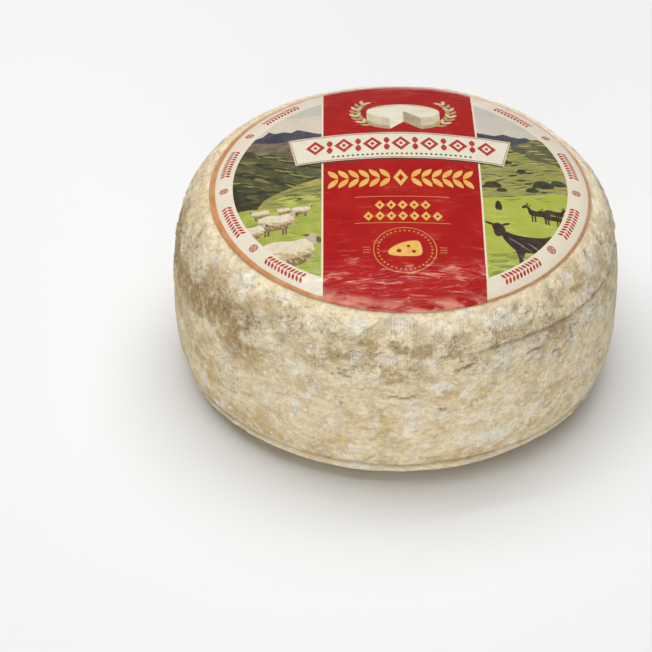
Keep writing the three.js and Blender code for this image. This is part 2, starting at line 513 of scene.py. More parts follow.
def rind_relief(points, radius, height, turn):
    """Relief of the rind in millimetres, and the masks that its colours follow."""
    rough_belt = bump_at(height, BELT_HEIGHT, 11)

    # Flaked crust, lumps and bald spots
    cloud = noise_at(points, 13, seed=3, octaves=6, squash=(1, 1, 1.35))
    level = 0.24 * rough_belt - 0.10 * bump_at(height, 90, 9)
    bald = marked(BALD_SPOTS, points, height, turn, 0.5)
    crust = smoothstep(-0.07, 0.0, cloud - level) * (1 - bald)
    flake_edge = bump_at(cloud - level, 0.02, 0.05) * (0.25 + 0.75 * rough_belt)
    relief = (0.25 + 0.40 * rough_belt) * crust + 0.25 * flake_edge
    lumps = 0.14 * noise_at(points, 3.2, seed=4, octaves=3) + 0.20 * noise_at(points, 9, seed=5)
    relief += lumps * (0.6 + 0.4 * rough_belt)

    # Pits, thickest in one spot at the front right, and fine cracks
    pitted_spot = bump_at(turn_from(turn, -48), 0, 0.13) * bump_at(height, 77, 6)
    busy = smoothstep(0.0, 0.6, noise_at(points, 22, seed=6) + 0.5 * rough_belt + pitted_spot)
    pits = smoothstep(0.26, 0.10, nearest_cell(points, 4.2, seed=1)) * busy
    pits *= smoothstep(-0.1, 0.3, noise_at(points, 7, seed=15) + pitted_spot)
    veins = np.abs(noise_at(points, 10, seed=7, octaves=3, squash=(1, 1, 2.6)))
    cracks = smoothstep(0.06, 0.0, veins) * smoothstep(0.0, 0.5, noise_at(points, 12, seed=8))
    cracks *= 0.35 + 0.65 * busy

    # The step that the mould's lid left, which slopes down to the right, and the lip and groove at the foot
    ledge_drop = 3.4 * smoothstep(math.radians(-70), math.radians(-15), turn_from(turn, 0))
    ledge_line = height - LEDGE_HEIGHT + ledge_drop - 0.9 * noise_at(points, 30, seed=9)
    ledge_pull = 0.12 + 0.88 * smoothstep(0.45, 0.75, np.cos(turn_from(turn, -15)))
    ledge = smoothstep(0.7, -0.3, ledge_line) * np.exp(np.minimum(ledge_line, 0) / 7) * ledge_pull
    lip_line = height - LIP_HEIGHT - 0.6 * noise_at(points, 22, seed=10)
    lip_strength = 0.35 + 0.65 * smoothstep(-0.3, 0.4, noise_at(points, 50, seed=11) + 0.25)
    lip = bump_at(lip_line, -1.2, 2.0) * lip_strength
    groove = bump_at(lip_line, 1.8, 1.0) * lip_strength

    # Dents that the folds of the cloth left in the shoulder
    fold_count = 34
    phase = turn * fold_count / FULL_TURN + 0.5 * noise_at(points, 40, seed=12)
    fold = bump_at(np.abs(phase - np.round(phase)), 0, 0.07)
    fold *= smoothstep(0.1, 0.5, noise_at(points, 20, seed=13))
    for degrees in DENT_TURNS:
        fold = np.maximum(fold, bump_at(turn_from(turn, degrees) * radius, 0, 1.0))
    fold *= bump_at(radius, DENT_RADIUS, 2.6) * (height > 60)

    splits = marked(SPLITS, points, height, turn, 0.5)
    relief -= 0.5 * pits + 0.4 * cracks + 1.4 * ledge + 0.6 * groove + 0.7 * fold + 0.45 * splits
    relief += 0.7 * lip

    # Masks for the colours, with painted shade in the rind's recesses
    ledge_shadow = bump_at(ledge_line, -0.5, 0.9) * ledge_pull
    # Painted shade in the recesses: pits, cracks, under the ledge, the groove over the lip, the fold dents
    # and the splits
    hollow_shade = 0.7 * pits + 0.7 * cracks + 1.1 * ledge_shadow + 0.85 * groove + 0.8 * fold + splits
    left_low = smoothstep(0.1, 0.9, -np.cos(turn_from(turn, 20))) * smoothstep(80, 20, height)
    foot_warmth = bump_at(height, 12, 12)
    patches = noise_at(points, 20, seed=16, octaves=4, squash=(1, 1, 1.4))
    ochre = smoothstep(-0.05, 0.55, patches + 0.35 * left_low + 0.25 * foot_warmth - 0.1) * 0.75
    cloth = noise_at(points, 15, seed=17, octaves=3)
    imprint = smoothstep(0.12, 0.5, cloth + 0.15 * bump_at(height, 78, 10)) * smoothstep(50, 64, height)
    imprint *= smoothstep(96, 88, height) * (1 - 0.65 * crust)
    bare = (1 - crust) * smoothstep(0.15, 0.8, rough_belt) * smoothstep(-0.5, 0.2, cloth)
    bloom = marked(WHITE_BLOOMS, points, height, turn, 0.7)
    # More painted shade just outside the edges of the crust's flakes
    hollow_shade = np.clip(hollow_shade + 0.35 * bump_at(cloud - level, -0.07, 0.035) * rough_belt, 0, 1)
    stain = smoothstep(0.72, 0.34, np.abs(turn_from(turn, -152))) * bump_at(height, 66, 12)
    stain += 0.35 * bump_at(turn_from(turn, -170), 0, 0.35) * bump_at(height, 60, 26)
    stain += 0.55 * bump_at(height, 64, 18) * smoothstep(0.2, 0.7, noise_at(points, 45, seed=18))
    brown = np.clip(stain * smoothstep(-0.35, 0.35, patches + 0.4 * stain), 0, 1)
    # Paler where the crust lies, along the shoulder's top and on the foot's lip; the next line makes it
    # less pale on the left and back, painted shade on the side turned from the light
    pale = np.clip(0.85 * crust + 0.65 * bump_at(height, 92, 14) * (radius > 60) + 0.8 * lip, 0, 1.5)
    pale *= 1 - 0.6 * smoothstep(-0.2, 0.8, np.cos(turn_from(turn, 135)))
    rough = np.clip(0.28 + bump_at(height, LEDGE_HEIGHT, 15) + 0.5 * (busy - 0.5), 0.15, 1)
    masks = {"crust": pale, "bare": bare, "hollow_shade": hollow_shade, "ochre": ochre}
    masks.update({"imprint": imprint, "rough": rough, "brown": brown, "bloom": bloom, "bald": bald})
    return relief, masks


def make_rind(material):
    """The wheel's skin: rings of points on its half section, pushed in and out by the relief."""
    fade_width, drop_under_label, base_unevenness = 3.5, 0.08, 0.12
    rings = rind_rings()
    around = POINTS_ROUND
    radius, height, out, up = on_section(rings)
    turns = np.arange(around) * FULL_TURN / around
    spin = np.stack([np.cos(turns), np.sin(turns)], 1)
    base_points = np.concatenate(
        [np.column_stack([r * spin, np.full(around, z)]) for r, z in zip(radius, height)]
    )
    normals = np.concatenate([np.column_stack([o * spin, np.full(around, u)]) for o, u in zip(out, up)])
    ring_radius = np.repeat(radius, around)
    ring_height = np.repeat(height, around)
    turn = np.tile(turns, len(rings))

    relief, masks = rind_relief(base_points, ring_radius, ring_height, turn)
    from_label = np.hypot(base_points[:, 0] - LABEL_X, base_points[:, 1] - LABEL_Y)
    covered = smoothstep(LABEL_RADIUS + fade_width, LABEL_RADIUS, from_label)
    covered = (ring_height > EQUATOR_HEIGHT) * covered
    relief = relief * (1 - covered) - drop_under_label * covered
    points = base_points + normals * (hand_made(base_points) + relief)[:, None]
    on_base = ring_height < 0.5
    points[on_base, 2] = base_unevenness * (1 + noise_at(base_points[on_base], 8, seed=14, octaves=3))
    points[:, 2] = np.maximum(points[:, 2], 0)

    bottom, top = len(points), len(points) + 1
    points = np.vstack([points, [0, 0, 0.1], [0, 0, WHEEL_HEIGHT - 0.25]])
    faces = []
    last = (len(rings) - 1) * around
    for i in range(around):
        j = (i + 1) % around
        faces += [(low + i, low + j, low + around + j, low + around + i) for low in range(0, last, around)]
        faces += [(bottom, j, i), (top, last + i, last + j)]

    piece = new_piece("rind", points, faces, [material])
    for name, values in masks.items():
        paint(piece, name, np.append(values * (1 - covered), [0, 0]))
    return piece


rind = make_rind(rind_material())
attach(rind, "root")
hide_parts("cheese_wheel")


# ---- Shapes for the label's print, in millimetres of the label's plan ----


def circle(radius, x=0.0, y=0.0, steps=None):
    """A round outline, with a point about every 1.2 mm unless its steps are given."""
    steps = steps or max(12, int(radius * 6.3 / 1.2))
    angle = np.arange(steps) * FULL_TURN / steps
    return np.column_stack([x + radius * np.cos(angle), y + radius * np.sin(angle)])


def closed_curve(points, steps=5):
    """A smooth closed outline through a few points."""
    points = np.array(points, float)
    before, after, beyond = np.roll(points, 1, 0), np.roll(points, -1, 0), np.roll(points, -2, 0)
    square = 2 * before - 5 * points + 4 * after - beyond
    cube = 3 * points - before - 3 * after + beyond
    outline = []
    for t in np.arange(steps) / steps:
        outline.append(0.5 * (2 * points + (after - before) * t + square * t**2 + cube * t**3))
    return np.stack(outline, 1).reshape(-1, 2)


def placed(outline, x, y, angle=0.0, scale=1.0, flip=False):
    """An outline turned, scaled and moved to a place."""
    outline = np.array(outline, float) * scale
    if flip:
        outline = (outline * [-1, 1])[::-1]
    c, s = math.cos(angle), math.sin(angle)
    return outline @ np.array([[c, s], [-s, c]]) + [x, y]


def leaf(length, width):
    """A pointed leaf along +X from the origin."""
    t = np.linspace(0, 1, 7)
    edge = width / 2 * np.sin(math.pi * t) ** 0.8
    return np.vstack([np.column_stack([t * length, edge]), np.column_stack([t * length, -edge])[-2:0:-1]])


def bar(x0, y0, x1, y1):
    """An upright rectangle between two corners."""
    return np.array([(x0, y0), (x1, y0), (x1, y1), (x0, y1)], float)


def diamond(width, height):
    """A lozenge about the origin."""
    return np.array([(-width / 2, 0), (0, -height / 2), (width / 2, 0), (0, height / 2)])


RED_LEFT, RED_RIGHT = -33.5, 34.2
PICTURE_RADIUS, PICTURE_Y = 73.0, -2.8
RIM_INNER, RIM_X, RIM_Y = 81.45, 0.65, -1.3
SPRIG_RADIUS, SPRIG_Y = 76.9, -1.5
SPRIG_TURNS = (133, 167, 199, 229)
ROSETTE_TURNS = (150, 183, 215)


class Artwork:
    """The print as a pile of coloured shapes, the last on top."""

    def __init__(self):
        self.layers = []

    def lay(self, ink, *loops):
        """Adds a shape; a second outline inside the first cuts a hole."""
        self.layers.append((ink, [np.asarray(loop, float) for loop in loops]))

    def blob(self, ink, points):
        """Adds a shape with a smooth outline through a few points."""
        self.lay(ink, closed_curve(points))


# Steps that scatter the brush strokes evenly: across, up, in size and in lean
EVEN_STEPS = (0.618034, 0.754878, 0.381966, 0.5698403)


def strokes(art, ink, region, count, length, width, lean, start=0):
    """Brush strokes scattered evenly inside an outline, all leaning one way."""
    region = np.asarray(region, float)
    low, high = region.min(0), region.max(0)
    for i in range(start, start + count):
        across, up, growth, sway = ((i * step) % 1 for step in EVEN_STEPS)
        x = low[0] + (high[0] - low[0]) * across
        y = low[1] + (high[1] - low[1]) * up
        if within([region], np.array([x]), np.array([y]))[0]:
            size = 0.6 + 0.8 * growth
            angle = math.radians(lean + 30 * sway - 15)
            art.lay(ink, placed(leaf(length * size, width * size), x, y, angle))


def left_pasture(art):
    """Dark wooded slopes over a bright meadow, under a pale evening sky."""
    art.lay("sky", bar(-80, 30, 0, 75))
    art.blob("evening", [(-75, 48), (-58, 50), (-44, 48), (-30, 49), (-20, 45), (-20, 28), (-75, 28)])
    ridge = [(-80, 30), (-66, 32), (-60.5, 33.5), (-58, 37.5), (-55, 35), (-51, 35.5), (-48, 34),
            (-45, 36.3), (-41, 34), (-37.5, 32), (-33, 30.5), (-20, 30), (-20, 10), (-80, 10)]
    art.lay("mountain", ridge)
    art.lay("bluff", [(-80, 30), (-66, 30), (-60, 27.5), (-54, 26), (-46, 27), (-38, 25), (-20, 24),
            (-20, 0), (-80, 0)])
    slope = [(-80, 27), (-66, 24), (-59, 19), (-52, 16), (-44, 12), (-34, 9), (-20, 8), (-20, -26),
            (-80, -26)]
    art.lay("wood", slope)
    strokes(art, "bluff", [(-72, 28), (-46, 27), (-50, 16), (-72, 20)], 16, 9, 1.6, -28)
    strokes(art, "wood light", slope, 90, 10, 1.5, -24)
    strokes(art, "wood dark", slope, 90, 9, 1.6, -26, 7)
    strokes(art, "slope light", slope, 44, 6, 0.8, -20, 31)
    art.blob("wood dark", [(-80, -2), (-70, -4), (-62, -9), (-57, -14), (-52, -18), (-50, -23), (-80, -25)])
    strokes(art, "wood", [(-72, -4), (-60, -8), (-52, -20), (-72, -22)], 14, 7, 1.3, -15)
    grazing = closed_curve([(-56, -15), (-48, -11), (-41, -7.5), (-33, -6), (-20, -6), (-20, -25),
            (-58, -24), (-60, -19)])
    art.lay("slope light", grazing)
    strokes(art, "wood light", grazing, 84, 8, 1.3, 2)
    strokes(art, "grass dark", grazing, 34, 8, 1.1, 4, 17)
    strokes(art, "wood dark", [(-56, -17), (-20, -10), (-20, -16), (-56, -21)], 20, 5, 0.9, 6, 29)
    strokes(art, "straw", [(-45, -8), (-33, -6), (-33, -10), (-45, -13)], 14, 5, 1.3, 10, 5)
    strokes(art, "grass pale", [(-56, -18), (-33, -14), (-33, -21), (-56, -22)], 26, 7, 1.0, 3, 40)
    art.lay("meadow left", [(-80, -23), (-66, -22.3), (-54, -23.3), (-44, -22.5), (-33, -22), (-20, -22),
            (-20, -80), (-80, -80)])
    meadow = [(-72, -24), (-33, -23), (-33, -72), (-60, -60)]
    strokes(art, "grass dark", meadow, 46, 6, 1.0, 4)
    strokes(art, "grass pale", meadow, 36, 6, 0.9, -3, 9)


def right_pasture(art):
    """Sunlit hills with dark shrubs over a yellow-green meadow."""
    art.lay("sky", bar(0, 26, 80, 75))
    art.blob("cloud", [(30, 46), (44, 44), (56, 41), (68, 38), (68, 26), (30, 26)])
    art.lay("mountain", [(20, 33), (34, 33), (39, 32), (43, 31.2), (47, 33.6), (50, 32), (54, 31.5),
            (57, 33), (62, 30), (80, 26), (80, 8), (20, 8)])
    hills = [(20, 20), (36, 22), (44, 23), (49, 22), (54, 27), (58, 30.5), (62, 33), (66, 30), (80, 24),
            (80, -24), (20, -24)]
    art.lay("hill", hills)
    shoulder = [(49, 22), (54, 27), (58, 30.5), (62, 33), (67, 30), (74, 22), (74, 12), (60, 14), (52, 17)]
    art.lay("hill dark", shoulder)
    strokes(art, "wood light", shoulder, 22, 7, 1.3, 35)
    strokes(art, "hill dark", hills, 110, 8, 1.5, 22)
    strokes(art, "straw", hills, 110, 8, 1.2, 16, 11)
    strokes(art, "slope light", hills, 70, 7, 1.2, 10, 23)
    strokes(art, "wood dark", hills, 40, 5, 1.2, 20, 41)
    shrub = closed_curve([(-0.6, -0.15), (-0.35, 0.3), (0, 0.4), (0.4, 0.3), (0.65, -0.1), (0.2, -0.3),
            (-0.3, -0.28)])
    places = ((39.5, -9.5, 6.5), (43.5, -12.5, 4), (62, -5, 8), (57, -10, 5), (69, -2, 6), (53, 3, 4),
            (46, 9, 5))
    for x, y, size in places:
        art.lay("wood dark", placed(shrub, x, y, 0.15, size))
    art.lay("meadow right", [(20, -20), (35, -19), (46, -17), (57, -13.5), (66, -10), (80, -7), (80, -80),
            (20, -80)])
    strokes(art, "grass dark", [(34, -19), (70, -11), (70, -17), (34, -23)], 16, 7, 0.8, 12)
    strokes(art, "grass pale", [(34, -24), (74, -20), (70, -52), (34, -52)], 40, 7, 0.9, 5, 3)
    low = [(34, -50), (62, -50), (56, -62), (34, -74)]
    strokes(art, "grass dark", low, 34, 7, 1.2, 8, 5)
    strokes(art, "grass dark", low, 20, 6, 1.6, 20, 50)


def sheep(art, x, y, length, flip=False, legs=True):
    """A woolly sheep, seen from the side, that faces right; its back is lit and its belly shaded."""

    def lay(ink, outline):
        art.lay(ink, placed(outline, x, y, 0, length, flip))

    if legs:
        for step in (-0.33, -0.24, 0.16, 0.24):
            lay("sheep dark", bar(step, -0.5, step + 0.06, -0.15))
    back = [(-0.5, 0.1), (-0.47, 0.24), (-0.33, 0.32), (-0.12, 0.33), (0.1, 0.3), (0.3, 0.34), (0.42, 0.3)]
    chest = [(0.47, 0.14), (0.44, -0.08), (0.32, -0.24)]
    belly = [(0.12, -0.3), (-0.15, -0.31), (-0.38, -0.26), (-0.48, -0.1)]
    lay("wool", closed_curve(back + chest + belly))
    lay("wool dim", closed_curve([(-0.49, 0.02), (-0.2, 0.07), (0.15, 0.02),
            (0.45, 0.08)] + chest[1:] + belly))
    lay("wool shade", closed_curve([(-0.47, -0.1), (-0.2, -0.08), (0.1, -0.12),
            (0.42, -0.06)] + chest[2:] + belly))
    for i in range(9):
        tuft_x, tuft_y = -0.4 + 0.1 * i, 0.02 + 0.1 * ((i * 0.618) % 1)
        lay("wool", placed(leaf(0.13, 0.05), tuft_x, tuft_y, math.radians(-40)))
        lay("wool dim", placed(leaf(0.12, 0.04), tuft_x + 0.03, tuft_y - 0.18, math.radians(-50)))
    lay("sheep face", closed_curve([(0.34, 0.32), (0.4, 0.44), (0.5, 0.43), (0.6, 0.3), (0.58, 0.21),
            (0.46, 0.2)]))
    lay("sheep dark", closed_curve([(0.53, 0.36), (0.61, 0.29), (0.59, 0.2), (0.52, 0.22)]))
    lay("sheep dark", placed(leaf(0.15, 0.06), 0.41, 0.4, math.radians(170)))


def flock(art):
    """Sheep over the left meadow, the nearest last."""
    sheep(art, -60.5, -26.4, 7.5, flip=True)
    sheep(art, -50.5, -26.0, 6, flip=True)
    sheep(art, -43, -26.8, 8)
    sheep(art, -53.5, -33.2, 15.5)
    sheep(art, -64.5, -37.5, 12.5, legs=False)
    sheep(art, -48.8, -52.8, 24, legs=False)


def goat(art, x, y, length, flip=False):
    """A small dark goat, seen from the side, that faces left."""

    def lay(outline):
        art.lay("goat", placed(outline, x, y, 0, length, flip))

    for step in (-0.32, -0.2, 0.22, 0.34):
        lay(bar(step, -0.52, step + 0.07, -0.1))
    lay(closed_curve([(-0.42, 0.2), (-0.1, 0.17), (0.3, 0.2), (0.46, 0.1), (0.42, -0.1), (0, -0.16),
            (-0.36, -0.14)]))
    lay(closed_curve([(-0.42, 0.1), (-0.5, 0.28), (-0.66, 0.22), (-0.68, 0.34), (-0.52, 0.46),
            (-0.32, 0.26)]))
    lay(placed(leaf(0.24, 0.07), -0.52, 0.42, math.radians(60)))
    lay(placed(leaf(0.2, 0.06), -0.46, 0.4, math.radians(20)))


def herd(art):
    """Small goats and a dark bush on the right meadow, and one big goat in front of them."""
    goat(art, 66, -23.5, 9, flip=True)
    goat(art, 59, -25.5, 10.5)
    goat(art, 64.5, -27, 9)
    art.blob("goat", [(40.4, -26), (40.2, -23), (41, -20.5), (42.2, -20.5), (43, -23), (42.9, -26)])
    back = [(41.5, -38), (44, -39.5), (48, -41), (54, -41.3), (60, -40.2), (66, -37.5), (76, -38),
            (76, -53)]
    belly = [(62, -51), (57, -50), (53, -50.5), (50.5, -50.5), (47.5, -50), (45, -47.5), (42.5, -43.5)]
    art.blob("goat", back + belly)
    art.lay("goat", [(47, -49), (48.6, -54), (48.8, -60), (50, -60), (50.6, -54), (52, -49.5)])
    art.lay("goat", [(64, -50), (66, -58), (67.4, -58), (68, -50)])
    head = [(38.2, -36), (40.5, -34.6), (42.8, -36), (43.8, -38.6), (43, -41.5), (40.6, -43), (39, -41.6),
            (38.6, -39)]
    art.blob("goat", head)
    art.lay("goat", placed(leaf(5.2, 1.5), 39.6, -36.2, math.radians(158)))
    art.lay("goat", placed(leaf(4.6, 1.5), 42.0, -36.0, math.radians(24)))
    for i in range(7):
        art.lay("goat sheen", placed(leaf(5.5, 0.5), 44.5 + i * 2.6, -43.2 - (i % 3) * 1.3 - i * 0.55,
                math.radians(-28)))


def ring_ornament(art):
    """Cream ring round the pictures, with leafy sprigs and small rosettes, and a coloured rim."""
    art.lay("cream", circle(LABEL_RADIUS + 5), circle(PICTURE_RADIUS, 0, PICTURE_Y))
    art.lay("rim", circle(LABEL_RADIUS + 5), circle(RIM_INNER, RIM_X, RIM_Y))
    sprig_steps = 5
    for flip in (False, True):
        for turn in SPRIG_TURNS:
            for step in range(-sprig_steps, sprig_steps + 1):
                angle = math.radians(turn + step * 1.42)
                x, y = SPRIG_RADIUS * math.cos(angle), SPRIG_Y + SPRIG_RADIUS * math.sin(angle)
                for lean in (54, -54):
                    sprout = placed(leaf(2.8, 1.2), x, y, angle + math.pi / 2 + math.radians(lean))
                    art.lay("crimson", placed(sprout, 0, 0, flip=flip))
        for turn in ROSETTE_TURNS:
            angle = math.radians(turn)
            x, y = SPRIG_RADIUS * math.cos(angle), SPRIG_Y + SPRIG_RADIUS * math.sin(angle)
            petals = [placed(leaf(2.2, 0.9), x, y, angle + (i + 0.5) * math.pi / 2) for i in range(4)]
            shapes = [("rosette", circle(2.0, x, y)), ("blush", circle(1.45, x, y))]
            shapes += [("rosette", petal) for petal in petals]
            for ink, outline in shapes:
                art.lay(ink, placed(outline, 0, 0, flip=flip))


def red_band(art):
    """The red band from back to front, with a thin pale line along each side."""
    margin = 0.8
    art.lay("cream", bar(RED_LEFT - margin, -73, RED_LEFT, 69))
    art.lay("cream", bar(RED_RIGHT, -73, RED_RIGHT + margin, 69))
    art.lay("red", bar(RED_LEFT, -90, RED_RIGHT, 90))


def emblem(art):
    """A plain picture of a cheese with a slice taken out, between two ears of grain."""
    x, y = 2.5, 51
    wide, deep, tall = 16.5, 7.6, 11

    def rim_point(degrees, drop=0.0):
        angle = math.radians(degrees)
        return (x + wide * math.cos(angle), y + deep * math.sin(angle) - drop)

    around = [rim_point(a, tall) for a in range(180, 361, 12)]
    art.lay("linen", around + [rim_point(0), rim_point(180)])
    art.lay("linen shade", [rim_point(a, tall * 0.72) for a in range(180, 361, 12)] + around[::-1])
    art.lay("bisque", [rim_point(a) for a in range(0, 360, 10)])
    art.lay("linen", [rim_point(a) for a in range(20, 161, 10)] + [(x, y + deep * 0.86)])
    left, right = -112, -62
    front = [rim_point(left, tall + 0.4), rim_point((left + right) / 2, tall + 0.6),
            rim_point(right, tall + 0.4)]
    art.lay("red", [(x, y), rim_point(left), *front, rim_point(right)])
    art.lay("bisque", [(x, y), rim_point(left), rim_point(left, tall), (x, y - tall)])
    art.lay("linen shade", [(x, y), rim_point(right), rim_point(right, tall), (x, y - tall)])
    for side in (-1, 1):
        for step in range(8):
            angle = math.radians(90 - side * (60 + step * 11))
            stem_x, stem_y = x + 21.5 * math.cos(angle), y - 1 + 18 * math.sin(angle)
            for lean in (-0.55, 0.55):
                grain = placed(leaf(5.0, 1.9), stem_x, stem_y, angle + side * math.pi / 2 + lean)
                art.lay("straw" if step % 2 else "linen", grain)


def banner(art):
    """A cream ribbon with a row of red lozenges and leaves, and a line of dots."""

    def arch(x):
        return -0.0013 * x * x

    def strip(low, high, ends):
        (left_low, left_high), (right_low, right_high) = ends
        under = np.linspace(left_low, right_low, 25)
        over = np.linspace(right_high, left_high, 25)
        lower = np.column_stack([under, low + arch(under)])
        upper = np.column_stack([over, high + arch(over)])
        return np.vstack([lower, upper])

    art.lay("wood dark", strip(7.2, 26, ((-44, -46), (45, 47))))
    art.lay("linen", strip(8.2, 29.9, ((-45.6, -49.0), (45.6, 49.9))))
    art.lay("crimson", strip(9.0, 28.9, ((-45.0, -48.2), (45.0, 49.1))))
    art.lay("ribbon", strip(9.4, 28.5, ((-44.8, -48.0), (44.8, 48.9))))
    spacing = 12.6
    for i in range(-3, 4):
        x = i * spacing + 0.8
        y = 20.2 + arch(x)
        art.lay("crimson", placed(diamond(8.6, 11.6), x, y), placed(diamond(4.4, 6.2), x, y))
        art.lay("crimson", placed(diamond(2.1, 3.0), x, y))
        if i < 3:
            for tilt in (90, -90):
                art.lay("crimson", placed(leaf(5.6, 2.7), x + spacing / 2, y, math.radians(tilt)))
    for i in range(-14, 15):
        x = i * 2.15 + 1
        art.lay("ink", placed(diamond(1.5, 1.9), x, 11.6 + arch(x)))


def gold_print(art):
    """Gold scrollwork, rules and a round seal under the ribbon."""
    for side in (-1, 1):
        for step in range(6):
            x = side * (4.6 + step * 4.5)
            for lean in (-1, 1):
                angle = (0 if side > 0 else math.pi) + lean * side * math.radians(56)
                art.lay("gold", placed(leaf(8.0, 2.9), x, -7, angle))
    art.lay("gold", placed(diamond(6.4, 12.5), 0, -7), placed(diamond(2.8, 5.6), 0, -7))
    for y in (-20.5, -37.8):
        art.lay("gold line", bar(-20, y - 0.2, 20.5, y + 0.2))
    for y, count in ((-26.2, 5), (-33.4, 7)):
        for i in range(count):
            x = (i - (count - 1) / 2) * 4.9 + 0.4
            art.lay("gold", placed(diamond(4.3, 6.0), x, y), placed(diamond(1.5, 2.2), x, y))
    x, y = 0.8, -54.3
    art.lay("gold line", circle(13.4, x, y), circle(13.0, x, y))
    for i in range(36):
        angle = i * FULL_TURN / 36
        dot = placed(diamond(1.1, 1.1), x + 11.4 * math.cos(angle), y + 11.4 * math.sin(angle), angle)
        art.lay("gold line", dot)
    slice_outline = closed_curve([(-6.6, -3.0), (-6.2, 0.4), (-1, 4.0), (4.8, 5.2), (6.6, 3.0),
            (6.6, -3.0), (0, -4.0)])
    art.lay("gold", placed(slice_outline, x, y))
    for hole_x, hole_y, radius in ((-2.6, -0.9, 1.1), (1.4, 1.9, 0.8), (3.6, -1.2, 0.9)):
        art.lay("red", circle(radius, x + hole_x, y + hole_y))
    for side in (-1, 1):
        for i in (-1, 0, 1):
            inner, outer = x + side * 14.6, x + side * 17.6
            low = y + i * 1.5 - 0.16
            art.lay("gold line", bar(min(inner, outer), low, max(inner, outer), low + 0.32))


def label_artwork():
    """The whole print, from the paper up."""
    art = Artwork()
    art.lay("cream", circle(LABEL_RADIUS + 5))
    pictures = (left_pasture, flock, right_pasture, herd)
    for draw in (*pictures, ring_ornament, red_band, emblem, banner, gold_print):
        draw(art)
    return art


# ---- The label's sheet ----


def fine_loop(loop, step=1.3):
    """The same closed outline with no stretch longer than a step."""
    points = []
    for start, end in zip(loop, np.roll(loop, -1, 0)):
        count = max(1, int(math.ceil(np.linalg.norm(end - start) / step)))
        points.extend(start + (end - start) * i / count for i in range(count))
    return np.array(points)


def within(loops, x, y):
    """Which points lie inside an odd number of the closed outlines."""
    odd = np.zeros(len(x), bool)
    for loop in loops:
        low, high = loop.min(0), loop.max(0)
        near = (x > low[0]) & (x < high[0]) & (y > low[1]) & (y < high[1])
        px, py = x[near], y[near]
        crossings = np.zeros(len(px), bool)
        for (ax, ay), (bx, by) in zip(loop, np.roll(loop, -1, 0)):
            if ay != by:
                crossings ^= ((ay > py) != (by > py)) & (px < (bx - ax) * (py - ay) / (by - ay) + ax)
        odd[near] ^= crossings
    return odd


def sheet_grid():
    """A scatter of points in rows over the sheet, closer where the paper creases at the front."""
    points = []
    for spacing, low, high in ((1.0, -LABEL_RADIUS, LABEL_RADIUS), (0.75, -LABEL_RADIUS, -52)):
        for i, y in enumerate(np.arange(low, high, spacing * math.sqrt(3) / 2)):
            across = np.arange(-LABEL_RADIUS + (i % 2) * spacing / 2, LABEL_RADIUS, spacing)
            across = across[np.hypot(across, y) < LABEL_RADIUS - 0.6]
            points.extend((x, y) for x in across)
    return points


def cut_sheet(art):
    """Triangles of the flat label, cut along every printed outline, and the ink on each."""
    rim_count, weld = 520, 1e-4
    points = [tuple(point) for point in circle(LABEL_RADIUS, steps=rim_count)]
    edges = [(i, (i + 1) % rim_count) for i in range(rim_count)]
    for ink, loops in art.layers[1:]:
        for loop in loops:
            loop = fine_loop(loop)
            start, count = len(points), len(loop)
            points.extend(loop)
            edges.extend((start + i, start + (i + 1) % count) for i in range(count))
    points.extend(sheet_grid())
    cut = geometry.delaunay_2d_cdt([Vector(p) for p in points], edges, [], 0, weld, False)
    flat = np.array([tuple(p) for p in cut[0]])
    triangles = np.array([tuple(t) for t in cut[2]])
    middle = flat[triangles].mean(1)
    kept = np.hypot(middle[:, 0], middle[:, 1]) < LABEL_RADIUS
    triangles, middle = triangles[kept], middle[kept]
    inks = sorted({ink for ink, loops in art.layers})
    ink_of = np.zeros(len(triangles), int)
    for ink, loops in art.layers:
        ink_of[within(loops, middle[:, 0], middle[:, 1])] = inks.index(ink)
    used, triangles = np.unique(triangles, return_inverse=True)
    return flat[used], triangles.reshape(-1, 3), inks, ink_of


def drape(flat, lift):
    """Lays points of the label's plan on the wheel, at a height above the plain surface."""
    points, normals = top_surface(flat[:, 0] + LABEL_X, flat[:, 1] + LABEL_Y)
    return points + normals * (hand_made(points) + lift)[:, None]


def wrinkles(flat):
    """Creases of the stuck paper in millimetres, strongest where it bends down the front shoulder."""
    spread = np.column_stack([flat, np.zeros(len(flat))])
    front = smoothstep(-50, -72, flat[:, 1])
    back = smoothstep(50, 78, flat[:, 1])
    folds = noise_at(spread, 4.6, seed=20, octaves=2, squash=(0.2, 1, 1))
    ridges = smoothstep(0.20, 0.0, np.abs(noise_at(spread, 6.5, seed=22, octaves=2, squash=(0.26, 1, 1))))
    pillows = noise_at(spread, 12, seed=21, octaves=2)
    strength = 0.04 + 0.96 * front + 0.30 * back
    return strength * (0.20 * folds + 0.26 * ridges) + 0.05 * pillows


